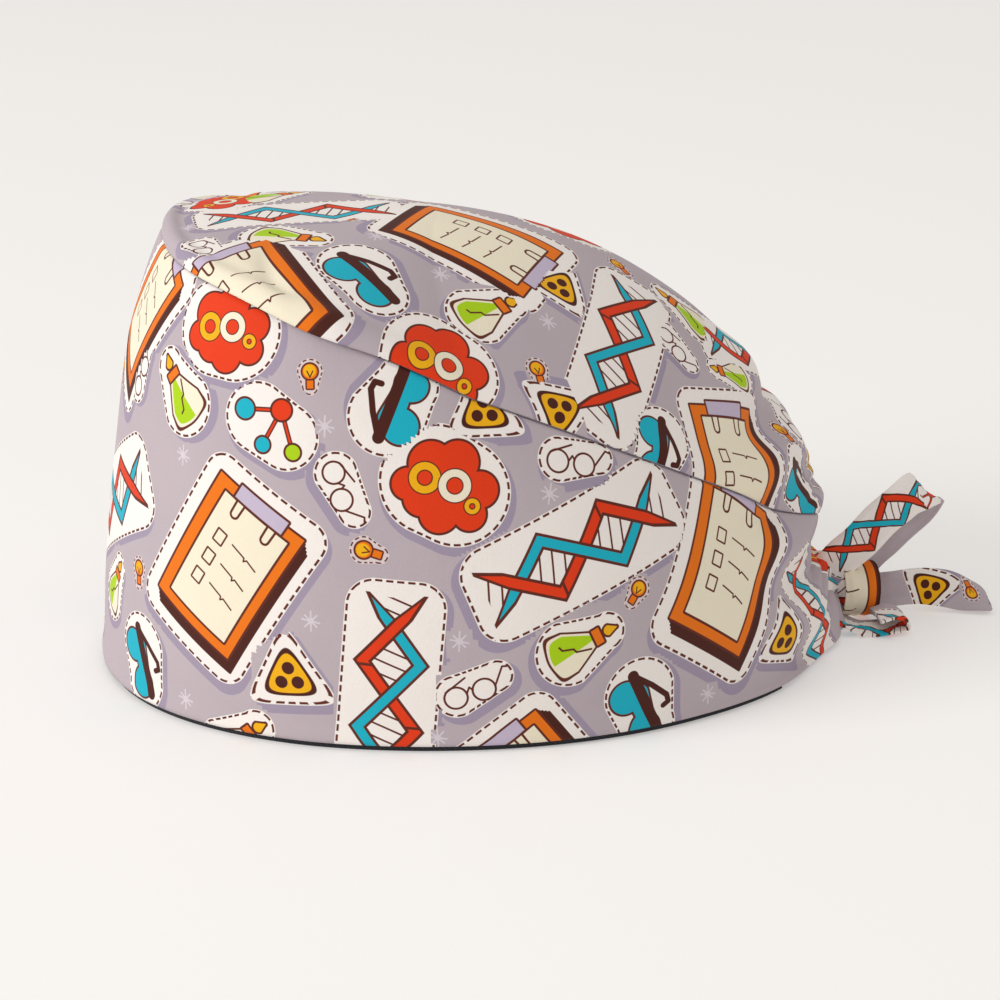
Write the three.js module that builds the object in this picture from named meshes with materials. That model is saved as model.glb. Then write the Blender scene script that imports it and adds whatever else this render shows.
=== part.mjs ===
// Tie-back surgical scrub cap in printed cotton, resting on its rim.
// Millimetres, +Z up, forehead towards -Y, gathered and tied back towards +Y.
// The origin is the middle of the whole cap's footprint, on the surface it rests on.

import * as THREE from 'three';

// ---------------------------------------------------------------- driving dimensions
const CLOTH = 1.2;                // wall of a single cloth panel
const GAP = 0.3;                  // clearance between two sewn pieces
const HEM_HEIGHT = 2;             // the printed hem stands this far above the surface
const SWEATBAND_LEVEL = 0.75;     // top edge of the sweatband, in ring levels
const SWEATBAND_END = 140;        // degrees from the forehead where the sweatband stops
const SEAM_LEVEL = 4;             // ring where the crown is sewn to the side band
const COLUMNS = 72;               // wall columns round the head
const BACK_CROWDING = 0.5;        // 0 = even columns, towards 1 = more of them at the back
const BAND_ROWS = 14;
const CROWN_ROWS = 10;
const SWEATBAND_ROWS = 3;

// Rings from the rim to the top of the crown.  Each ring passes through a front, a side
// and a back point; frontSquare and backSquare are superellipse exponents, 2 = elliptic.
// Lengths are measured from the middle of the rim.
const RING_COLUMNS = ['frontY', 'frontZ', 'sideX', 'sideY', 'sideZ', 'backY', 'backZ',
  'frontSquare', 'backSquare'];
const RINGS = [
  [-110.0, 2.0, 86.0, -2.0, 2.0, 112.5, 2.0, 2.10, 1.90],      // rim
  [-108.0, 33.0, 87.0, -3.0, 28.0, 107.5, 12.0, 2.15, 1.95],
  [-104.0, 67.0, 85.0, -5.0, 53.0, 104.5, 21.0, 2.20, 2.00],
  [-99.0, 99.0, 79.0, -8.0, 77.0, 103.0, 29.5, 2.30, 2.00],
  [-89.0, 127.0, 70.0, -11.0, 97.0, 104.5, 38.0, 2.50, 2.00],  // crown seam
  [-82.0, 131.5, 62.0, -14.0, 108.0, 99.5, 55.0, 2.40, 2.00],
  [-71.0, 133.0, 50.0, -16.0, 117.5, 87.0, 78.0, 2.30, 2.00],
  [-57.0, 133.5, 35.0, -16.0, 126.0, 66.0, 101.5, 2.20, 2.00],
  [-38.0, 133.5, 18.0, -14.0, 131.5, 32.0, 122.5, 2.10, 2.00],
  [-10.0, 133.0, 0.0, -10.0, 133.0, -10.0, 133.0, 2.00, 2.00], // top of the crown
];

// The back is drawn together on a short upright line; the cloth stands in folds round it:
// level ones beside the line, fanning out past its two ends.
const DRAW = { y: 106, low: 13.5, high: 41, pitch: 11, fan: 6, soften: 8, depth: 3, reach: 24 };

// Knot of the two ties, an egg of cloth against the drawn-in back.
const KNOT = { y: 118, z: 8.9, halfX: 8, halfY: 6.8, halfZ: 7.6, rings: 10, columns: 20 };
const TIE = { width: 11.5, thickness: 1.5 };

// Routes of the ties: the middle of the strip and the direction of its width.
const ROUTE_COLUMNS = ['x', 'y', 'z', 'acrossX', 'acrossY', 'acrossZ'];
const LOOP_ROUTE = [
  [4.5, 113.6, 21.4, 0, 0.70, -0.72],
  [5.4, 117.4, 25.4, 0, 0.70, -0.72],
  [6.2, 121.4, 30.0, 0, 0.70, -0.72],
  [6.6, 125.6, 34.4, 0, 0.70, -0.72],
  [6.4, 129.8, 38.0, 0, 0.70, -0.72],
  [5.0, 134.0, 40.4, 0, 0.72, -0.70],
  [2.0, 138.0, 40.6, 0, 0.74, -0.68],
  [-2.0, 140.4, 37.8, 0, 0.76, -0.66],
  [-4.6, 139.2, 33.2, 0, 0.78, -0.63],
  [-5.5, 135.0, 28.4, 0, 0.78, -0.62],
  [-5.3, 130.2, 24.2, 0, 0.78, -0.62],
  [-4.8, 125.6, 20.6, 0, 0.78, -0.62],
];
const TAIL_ROUTE = [
  [-2.0, 126.4, 7.4, 0.00, 0, 1],
  [-2.0, 131.0, 7.8, 0.00, 0, 1],
  [-2.0, 136.4, 8.0, -0.05, 0, 1],
  [-2.0, 141.8, 7.9, -0.15, 0, 1],
  [-1.7, 147.2, 7.1, -0.35, 0, 1],
  [-1.2, 152.4, 5.6, -0.70, 0, 1],
  [-0.8, 157.2, 3.9, -1.20, 0, 0.8],
  [-0.4, 161.8, 1.8, -1.00, 0, 0.15],
];
const FOLD_ROUTE = [
  [12.0, 116.6, 1.3, 1, 0, 0],
  [12.6, 120.8, 1.2, 1, 0, 0],
  [13.0, 125.2, 1.3, 1, 0, 0],
  [13.4, 129.0, 2.0, 1, 0, 0],
  [13.8, 130.5, 3.7, 1, 0, 0],
  [14.0, 129.0, 5.4, 1, 0, 0],
  [14.2, 125.4, 6.0, 1, 0, 0],
  [14.4, 121.6, 5.6, 1, 0, 0],
];

// ---------------------------------------------------------------- cap surface
/** Named values of a table row. */
function named(columns, row) {
  return Object.fromEntries(columns.map((name, i) => [name, row[i]]));
}

/** Ring just past the top: the last but one again, with its front and back changed over. */
function ringPastTop() {
  const [frontY, frontZ, sideX, sideY, sideZ, backY, backZ, ...squares] = RINGS.at(-2);
  return [backY, backZ, -sideX, sideY, sideZ, frontY, frontZ, ...squares];
}

/** Ring at a fractional level, on a Catmull-Rom curve through the rings. */
function ringAt(level) {
  const last = RINGS.length - 1;
  const i = Math.min(Math.max(Math.floor(level), 0), last - 1);
  const u = level - i;
  const above = i + 2 <= last ? RINGS[i + 2] : ringPastTop();
  return RINGS[i].map((b, k) => {
    const c = RINGS[i + 1][k];
    const a = i > 0 ? RINGS[i - 1][k] : 2 * b - c;
    const d = above[k];
    return 0.5 * (2 * b + (c - a) * u + (2 * a - 5 * b + 4 * c - d) * u * u
      + (3 * b - a - 3 * c + d) * u * u * u);
  });
}

/** Smooth cap before its folds: angle 0 is the forehead, level 0 the rim. */
function basePoint(angle, level) {
  const ring = named(RING_COLUMNS, ringAt(level));
  const cos = Math.cos(angle);
  const sin = Math.sin(angle);
  const frontShare = 0.5 + 0.5 * Math.min(Math.max(2 * cos, -1), 1);
  const square = ring.backSquare + (ring.frontSquare - ring.backSquare) * frontShare;
  const radius = (Math.abs(cos) ** square + Math.abs(sin) ** square) ** (-1 / square);
  const along = cos * radius;
  const reach = cos > 0 ? ring.sideY - ring.frontY : ring.backY - ring.sideY;
  const rise = (ring.frontZ - ring.backZ) / 2;
  const bow = (ring.frontZ + ring.backZ) / 2 - ring.sideZ;
  return new THREE.Vector3(
    ring.sideX * sin * radius,
    ring.sideY - reach * along,
    ring.sideZ + rise * along + bow * along * along,
  );
}

/** Outward normal of the smooth cap, from small steps in both directions. */
function baseNormal(angle, level) {
  const step = 0.01;
  const top = Math.min(level, RINGS.length - 1 - 2 * step);
  const round = basePoint(angle + step, top).sub(basePoint(angle - step, top));
  const up = basePoint(angle, top + step).sub(basePoint(angle, top - step));
  return round.cross(up).normalize();
}

/** Height of the folds that stand round the drawn line, along the normal. */
function foldHeight(point) {
  const nearest = Math.min(Math.max(point.z, DRAW.low), DRAW.high);
  const distance = Math.hypot(point.x, point.y - DRAW.y, point.z - nearest);
  const turn = Math.atan2(point.z - nearest, Math.hypot(point.x, DRAW.soften));
  const phase = 2 * Math.PI * (nearest - DRAW.high) / DRAW.pitch + DRAW.fan * turn;
  return DRAW.depth * Math.exp(-((distance / DRAW.reach) ** 1.5)) * Math.cos(phase);
}

/** Point of the folded cap, `inset` inside its outer face. */
function capPoint(angle, level, inset) {
  const point = basePoint(angle, level);
  const normal = level < RINGS.length - 1 ? baseNormal(angle, level) : new THREE.Vector3(0, 0, 1);
  return point.addScaledVector(normal, foldHeight(point) - inset);
}

/** Level that lies `distance` up the wall from the given level. */
function levelBeside(angle, level, distance) {
  const step = 0.01;
  const rise = basePoint(angle, level + step).distanceTo(basePoint(angle, level));
  return level + distance * step / rise;
}

/** Column angles, closer together at the gathered back. */
function columnAngles() {
  return Array.from({ length: COLUMNS }, (_, i) => {
    const even = 2 * Math.PI * i / COLUMNS;
    return even + BACK_CROWDING * Math.sin(even);
  });
}

// ---------------------------------------------------------------- mesh building
/**
 * Closed body from a grid of loops.  Each loop is a ring of points; neighbouring loops are
 * joined by triangles.  `ends` says how the stack of loops closes: 'ring' joins the last loop
 * to the first, 'caps' closes each end with a fan on its first point.
 */
function loopsGeometry(loops, ends) {
  const count = loops[0].length;
  const positions = loops.flat().flatMap((p) => [p.x, p.y, p.z]);
  const index = [];
  const joins = ends === 'ring' ? loops.length : loops.length - 1;
  for (let j = 0; j < joins; j += 1) {
    const lower = j * count;
    const upper = ((j + 1) % loops.length) * count;
    for (let i = 0; i < count; i += 1) {
      const next = (i + 1) % count;
      index.push(lower + i, lower + next, upper + next);
      index.push(lower + i, upper + next, upper + i);
    }
  }
  if (ends === 'caps') {
    const top = (loops.length - 1) * count;
    for (let i = 1; i < count - 1; i += 1) {
      index.push(0, i + 1, i);
      index.push(top, top + i, top + i + 1);
    }
  }
  return geometryFrom(positions, index);
}

/** Indexed geometry with normals. */
function geometryFrom(positions, index) {
  const geometry = new THREE.BufferGeometry();
  geometry.setAttribute('position', new THREE.Float32BufferAttribute(positions, 3));
  geometry.setIndex(index);
  geometry.computeVertexNormals();
  return geometry;
}

/** Ring of wall points at one level for every column. */
function wallLoop(levelOf, inset) {
  return columnAngles().map((angle) => capPoint(angle, levelOf(angle), inset));
}

/** Side band: a ring of cloth from the hem to the crown seam. */
function sideBandGeometry() {
  const loops = [];
  for (let row = 0; row <= BAND_ROWS; row += 1) {
    loops.push(wallLoop(() => SEAM_LEVEL * row / BAND_ROWS, 0));
  }
  for (let row = BAND_ROWS; row >= 0; row -= 1) {
    loops.push(wallLoop(() => SEAM_LEVEL * row / BAND_ROWS, CLOTH));
  }
  return loopsGeometry(loops, 'ring');
}

/** Crown: a domed panel from the seam to its top, with one pole outside and one inside. */
function crownGeometry() {
  const top = RINGS.length - 1;
  const loops = [];
  const levelOf = (share) => (angle) => {
    const start = levelBeside(angle, SEAM_LEVEL, GAP);
    return start + (top - start) * share;
  };
  for (let row = CROWN_ROWS - 1; row >= 0; row -= 1) {
    loops.push(wallLoop(levelOf(row / CROWN_ROWS), CLOTH));
  }
  for (let row = 0; row < CROWN_ROWS; row += 1) {
    loops.push(wallLoop(levelOf(row / CROWN_ROWS), 0));
  }
  const poles = [capPoint(0, top, CLOTH), capPoint(0, top, 0)];
  const positions = [...loops.flat(), ...poles].flatMap((p) => [p.x, p.y, p.z]);
  const index = [];
  for (let j = 0; j < loops.length - 1; j += 1) {
    for (let i = 0; i < COLUMNS; i += 1) {
      const next = (i + 1) % COLUMNS;
      const lower = j * COLUMNS;
      const upper = lower + COLUMNS;
      index.push(lower + i, lower + next, upper + next);
      index.push(lower + i, upper + next, upper + i);
    }
  }
  const innerPole = loops.length * COLUMNS;
  const lastLoop = (loops.length - 1) * COLUMNS;
  for (let i = 0; i < COLUMNS; i += 1) {
    const next = (i + 1) % COLUMNS;
    index.push(innerPole, next, i);
    index.push(innerPole + 1, lastLoop + i, lastLoop + next);
  }
  return geometryFrom(positions, index);
}

/** Sweatband: an open strip inside the hem, its lower edge flat on the surface. */
function sweatbandGeometry() {
  const outer = CLOTH + GAP;
  const inner = outer + CLOTH;
  const end = SWEATBAND_END * Math.PI / 180;
  const stations = Math.round(COLUMNS * SWEATBAND_END / 180);
  const loops = [];
  for (let s = 0; s <= stations; s += 1) {
    const angle = -end + 2 * end * s / stations;
    const section = [];
    for (let row = 0; row <= SWEATBAND_ROWS; row += 1) {
      section.push(capPoint(angle, SWEATBAND_LEVEL * row / SWEATBAND_ROWS, inner));
    }
    for (let row = SWEATBAND_ROWS; row >= 0; row -= 1) {
      section.push(capPoint(angle, SWEATBAND_LEVEL * row / SWEATBAND_ROWS, outer));
    }
    section.push(capPoint(angle, 0, outer).setZ(0));
    section.push(capPoint(angle, 0, inner).setZ(0));
    loops.push(section);
  }
  return loopsGeometry(loops, 'caps');
}

/** Knot: an egg of cloth with a shallow waist where the ties wrap it. */
function knotGeometry() {
  const profile = [new THREE.Vector2(0, -1)];
  for (let i = 1; i < KNOT.rings; i += 1) {
    const angle = -Math.PI / 2 + Math.PI * i / KNOT.rings;
    const waist = 1 - 0.08 * Math.cos(2 * angle) ** 4;
    profile.push(new THREE.Vector2(Math.cos(angle) * waist, Math.sin(angle)));
  }
  profile.push(new THREE.Vector2(0, 1));
  const geometry = new THREE.LatheGeometry(profile, KNOT.columns);
  geometry.rotateX(Math.PI / 2);
  geometry.scale(KNOT.halfX, KNOT.halfY, KNOT.halfZ);
  geometry.translate(0, KNOT.y, KNOT.z);
  return geometry;
}

/** Flat strip along a route: at each stop a thin rectangle square to the way it runs. */
function stripGeometry(route) {
  const stops = route.map((row) => named(ROUTE_COLUMNS, row));
  const middles = stops.map((stop) => new THREE.Vector3(stop.x, stop.y, stop.z));
  const loops = stops.map((stop, i) => {
    const before = middles[Math.max(i - 1, 0)];
    const after = middles[Math.min(i + 1, stops.length - 1)];
    const way = after.clone().sub(before).normalize();
    const across = new THREE.Vector3(stop.acrossX, stop.acrossY, stop.acrossZ);
    across.addScaledVector(way, -across.dot(way)).normalize();
    const face = new THREE.Vector3().crossVectors(way, across);
    const corner = (w, t) => middles[i].clone()
      .addScaledVector(across, w * TIE.width / 2)
      .addScaledVector(face, t * TIE.thickness / 2);
    return [corner(-1, -1), corner(1, -1), corner(1, 1), corner(-1, 1)];
  });
  return loopsGeometry(loops, 'caps');
}

// ---------------------------------------------------------------- assembly
const PRINT = { color: 0xb4a8b4, roughness: 0.85, metalness: 0 };
const DARK = { color: 0x2c2826, roughness: 0.9, metalness: 0 };

/** One named sub-part. */
function piece(name, geometry, finish) {
  const mesh = new THREE.Mesh(geometry, new THREE.MeshStandardMaterial(finish));
  mesh.name = name;
  return mesh;
}

const cap = new THREE.Group();
cap.add(piece('side_band', sideBandGeometry(), PRINT));
cap.add(piece('crown', crownGeometry(), PRINT));
cap.add(piece('sweatband', sweatbandGeometry(), DARK));
cap.add(piece('tie_knot', knotGeometry(), PRINT));
cap.add(piece('tie_loop', stripGeometry(LOOP_ROUTE), PRINT));
cap.add(piece('tie_tail', stripGeometry(TAIL_ROUTE), PRINT));
cap.add(piece('tie_fold', stripGeometry(FOLD_ROUTE), PRINT));

// The ties count in the footprint, so the origin is the middle of the whole box.
const footprint = new THREE.Box3().setFromObject(cap);
const middle = footprint.getCenter(new THREE.Vector3());
cap.position.set(-middle.x, -middle.y, -footprint.min.z);

export default cap;
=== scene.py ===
"""Tie-back surgical scrub cap in printed cotton: the looks.

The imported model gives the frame: the side band, the crown, the sweatband and the
drawn-in ties.  Each is remade here as a fine cloth mesh in the same place, and printed
with a sticker-sheet pattern of science motifs.  Lengths inside the helpers are
millimetres; the mesh builder turns them into metres.
"""

from functools import reduce

import bpy
import numpy as np
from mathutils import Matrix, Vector


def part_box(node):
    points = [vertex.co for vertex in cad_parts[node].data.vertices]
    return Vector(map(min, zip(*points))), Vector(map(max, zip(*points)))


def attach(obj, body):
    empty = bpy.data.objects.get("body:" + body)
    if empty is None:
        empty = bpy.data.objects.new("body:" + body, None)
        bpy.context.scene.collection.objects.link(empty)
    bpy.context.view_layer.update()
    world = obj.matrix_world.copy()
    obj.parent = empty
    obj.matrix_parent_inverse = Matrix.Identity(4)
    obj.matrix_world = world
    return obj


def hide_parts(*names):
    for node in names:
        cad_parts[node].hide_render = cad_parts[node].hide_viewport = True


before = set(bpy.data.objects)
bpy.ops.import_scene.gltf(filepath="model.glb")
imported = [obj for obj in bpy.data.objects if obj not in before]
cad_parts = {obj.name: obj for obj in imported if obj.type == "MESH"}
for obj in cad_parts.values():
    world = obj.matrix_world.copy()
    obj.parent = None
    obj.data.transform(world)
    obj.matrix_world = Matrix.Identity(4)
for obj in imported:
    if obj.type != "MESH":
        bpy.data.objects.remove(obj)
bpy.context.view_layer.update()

MM = 0.001                       # one millimetre in metres

# ------------------------ cap shape, in mm
# Rings from the rim to the top of the crown: front y, z; side x, y, z; back y, z; and
# how square the front and back halves are (2 = elliptic).
RINGS = np.array([
    [-110.0, 2.0, 86.0, -2.0, 2.0, 112.5, 2.0, 2.10, 1.90],
    [-108.0, 33.0, 87.0, -3.0, 28.0, 107.5, 12.0, 2.15, 1.95],
    [-104.0, 67.0, 85.0, -5.0, 53.0, 104.5, 21.0, 2.20, 2.00],
    [-99.0, 99.0, 79.0, -8.0, 77.0, 103.0, 29.5, 2.30, 2.00],
    [-89.0, 127.0, 70.0, -11.0, 97.0, 104.5, 38.0, 2.50, 2.00],
    [-82.0, 131.5, 62.0, -14.0, 108.0, 99.5, 55.0, 2.40, 2.00],
    [-71.0, 133.0, 50.0, -16.0, 117.5, 87.0, 78.0, 2.30, 2.00],
    [-57.0, 133.5, 35.0, -16.0, 126.0, 66.0, 101.5, 2.20, 2.00],
    [-38.0, 133.5, 18.0, -14.0, 131.5, 32.0, 122.5, 2.10, 2.00],
    [-10.0, 133.0, 0.0, -10.0, 133.0, -10.0, 133.0, 2.00, 2.00]])
SEAM_LEVEL = 4.0                 # ring where the crown is sewn to the band
TOP_LEVEL = 9.0
SWEATBAND_LEVEL = 0.75           # top edge of the sweatband
SWEATBAND_END = 140.0            # degrees from the forehead
CLOTH = 0.9                      # one panel of cotton with its seam allowance
BACK_CROWDING = 0.5              # towards 1 = more columns at the gathers

# The back is drawn together on a short upright line, with folds round it.
DRAW_Y, DRAW_LOW, DRAW_HIGH = 106.0, 13.5, 41.0
LOBE_PITCH, LOBE_HEIGHT, LOBE_REACH = 11.0, 3.0, 24.0
LOBE_FAN, LOBE_FAN_SOFTNESS = 6.0, 8.0           # how they spread past the line's ends
PUCKER_HEIGHT, PUCKER_REACH = 2.5, 27.0
SWELL_PITCH, SWELL_CREST_Z, SWELL_HEIGHT = 23.5, 63.7, 3.0
SWELL_DISTANCE, SWELL_WIDTH, SWELL_TOP_Z, SWELL_FADE = 43.0, 19.0, 92.0, 7.0
CINCH_DEPTH, CINCH_Z, CINCH_HIGH, CINCH_WIDE = 5.6, 32.5, 8.5, 20.0

# The rim's own middle lies off the origin, which is the middle of the whole footprint.
RIM_SHIFT = np.array([0.0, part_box("side_band")[0].y / MM - RINGS[0, 0], 0.0])


def curve_through(table, place):
    """Rows at any place from a table's second row, 0, to its last but one: a uniform
    Catmull-Rom, in which the two end rows only steer."""
    first = np.minimum(place.astype(int), len(table) - 4)
    f = (place - first)[..., None]
    a, b, c, d = (table[first + k] for k in range(4))
    return 0.5 * (2 * b + (c - a) * f + (2 * a - 5 * b + 4 * c - d) * f ** 2
                  + (3 * b - a - 3 * c + d) * f ** 3)


def between_rings(level):
    """Ring numbers at any level.  Below the rim the table goes on in a straight line,
    and over the top it goes down the other side, front and back changed over."""
    below = 2 * RINGS[:1] - RINGS[1:2]
    beyond = RINGS[-2:-1, [5, 6, 2, 3, 4, 0, 1, 7, 8]] * [1, 1, -1, 1, 1, 1, 1, 1, 1]
    return curve_through(np.vstack([below, RINGS, beyond]), np.clip(level, 0.0, TOP_LEVEL))


def smooth_cap(angle, level):
    """The cap without its folds: at each level a superellipse through the ring's front,
    side and back, its height following a parabola in the cosine of the angle."""
    angle, level = np.broadcast_arrays(angle, level)
    front_y, front_z, side_x, side_y, side_z, back_y, back_z, front_q, back_q = (
        np.moveaxis(between_rings(level), -1, 0))
    c, s = np.cos(angle), np.sin(angle)
    q = back_q + (front_q - back_q) * (0.5 + 0.5 * np.clip(c * 2, -1, 1))
    reach = (np.abs(c) ** q + np.abs(s) ** q) ** (-1 / q)
    c, s = c * reach, s * reach
    y = side_y - np.where(c > 0, side_y - front_y, back_y - side_y) * c
    z = side_z + (front_z - back_z) / 2 * c + ((front_z + back_z) / 2 - side_z) * c ** 2
    return np.stack([side_x * s, y, z], -1)


def outward(angle, level, step=0.002):
    """Unit normals of the smooth cap, from its slopes round and up."""
    level = np.clip(level, step, TOP_LEVEL - 0.02)
    round_it = smooth_cap(angle + step, level) - smooth_cap(angle - step, level)
    up_it = smooth_cap(angle, level + step) - smooth_cap(angle, level - step)
    n = np.cross(round_it, up_it)
    return n / np.linalg.norm(n, axis=-1, keepdims=True)


def bell(x, middle, width):
    """A bell of height 1 at the middle, width to where it has fallen to 1/e."""
    return np.exp(-((x - middle) / width) ** 2)


def gathers(p):
    """Height of the folds: rounded lobes with sharp valleys along the drawn line, which
    fan out past its ends and die away with distance; finer puckers between them; wide
    swells further out; and the waist where the casing is pulled in."""
    x, y, z = p[..., 0], p[..., 1], p[..., 2]
    nearest = np.clip(z, DRAW_LOW, DRAW_HIGH)
    distance = np.sqrt(x ** 2 + (y - DRAW_Y) ** 2 + (z - nearest) ** 2)
    turn = np.arctan2(z - nearest, np.hypot(x, LOBE_FAN_SOFTNESS))
    phase = 2 * np.pi * (nearest - DRAW_HIGH) / LOBE_PITCH + LOBE_FAN * turn
    lobes = 2 * np.sqrt(abs(np.cos(phase / 2)) + 0.002) - 1
    main = LOBE_HEIGHT * np.exp(-(distance / LOBE_REACH) ** 1.5) * lobes
    fine = abs(np.cos(1.37 * phase + 0.10 * x + 0.7)) ** 0.8 - 0.6
    puckers = PUCKER_HEIGHT * fine * bell(distance, 0.0, PUCKER_REACH)
    wander = 0.8 * np.sin(0.07 * x)
    waves = np.cos(2 * np.pi * (z - SWELL_CREST_Z) / SWELL_PITCH + wander)
    below_top = 1 / (1 + np.exp((z - SWELL_TOP_Z) / SWELL_FADE))
    swells = SWELL_HEIGHT * waves * bell(distance, SWELL_DISTANCE, SWELL_WIDTH) * below_top
    waist = CINCH_DEPTH * bell(z, CINCH_Z, CINCH_HIGH) * bell(x, 0.0, CINCH_WIDE)
    return main + puckers + swells - waist * (y > DRAW_Y / 2)


def cap_cloth(angle, level, lift=0.0):
    """Cloth of the cap: the smooth cap pushed out along its normals by the folds and
    by lift."""
    base = smooth_cap(angle, level)
    height = gathers(base) + lift
    return base + outward(angle, level) * height[..., None]


# ------------------------ mesh building
def make_mesh(name, points, faces, materials, material_index, print_at, bake_at=None):
    """One object from points in mm and quads or triangles, with the print coordinates
    of every face corner."""
    mesh = bpy.data.meshes.new(name)
    faces = [np.asarray(f) for f in faces]
    sizes = np.concatenate([np.full(len(f), f.shape[1]) for f in faces])
    corners = np.concatenate([f.ravel() for f in faces])
    mesh.vertices.add(len(points))
    mesh.vertices.foreach_set("co", ((points + RIM_SHIFT) * MM).astype(np.float32).ravel())
    mesh.loops.add(len(corners))
    mesh.loops.foreach_set("vertex_index", corners.astype(np.int32))
    mesh.polygons.add(len(sizes))
    starts = np.concatenate([[0], np.cumsum(sizes)[:-1]])
    mesh.polygons.foreach_set("loop_start", starts.astype(np.int32))
    for finish in materials:
        mesh.materials.append(finish)
    mesh.polygons.foreach_set("material_index", material_index.astype(np.int32))
    mesh.polygons.foreach_set("use_smooth", np.full(len(sizes), True))
    mesh.update(calc_edges=True)
    spot = mesh.attributes.new("print", "FLOAT_VECTOR", "CORNER")
    spot.data.foreach_set("vector", print_at.astype(np.float32).ravel())
    if bake_at is not None:
        layer = mesh.uv_layers.new(name="OFBake")
        layer.uv.foreach_set("vector", bake_at.astype(np.float32).ravel())
    mesh.validate()
    piece = bpy.data.objects.new(name, mesh)
    bpy.context.scene.collection.objects.link(piece)
    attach(piece, "root")
    return piece


def ring_faces(rows, columns, closed_rows):
    """Quads of a grid whose columns go round, and whose rows do too if closed."""
    r = np.arange(rows if closed_rows else rows - 1)[:, None]
    c = np.arange(columns)[None, :]
    r2, c2 = (r + 1) % rows, (c + 1) % columns
    quads = np.stack([r * columns + c, r * columns + c2, r2 * columns + c2,
                      r2 * columns + c], -1)
    return quads.reshape(-1, 4)


# ------------------------ shader helpers
def srgb(red, green, blue):
    """Linear colour of a swatch given as 0-255 values."""
    c = np.array([red, green, blue]) / 255.0
    c = np.where(c <= 0.04045, c / 12.92, ((c + 0.055) / 1.055) ** 2.4)
    return (*map(float, c), 1.0)


class Value:
    """A number in a shader; arithmetic on it adds Math nodes."""

    def __init__(self, finish, socket):
        self.finish, self.socket = finish, socket

    def math(self, operation, *others):
        return self.finish.math(operation, self, *others)

    def __add__(self, other):
        return self.math("ADD", other)

    def __sub__(self, other):
        return self.math("SUBTRACT", other)

    def __rsub__(self, other):
        return self.finish.math("SUBTRACT", other, self)

    def __mul__(self, other):
        return self.math("MULTIPLY", other)

    def __neg__(self):
        return self.math("MULTIPLY", -1.0)

    def __abs__(self):
        return self.math("ABSOLUTE")

    __radd__, __rmul__ = __add__, __mul__


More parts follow.
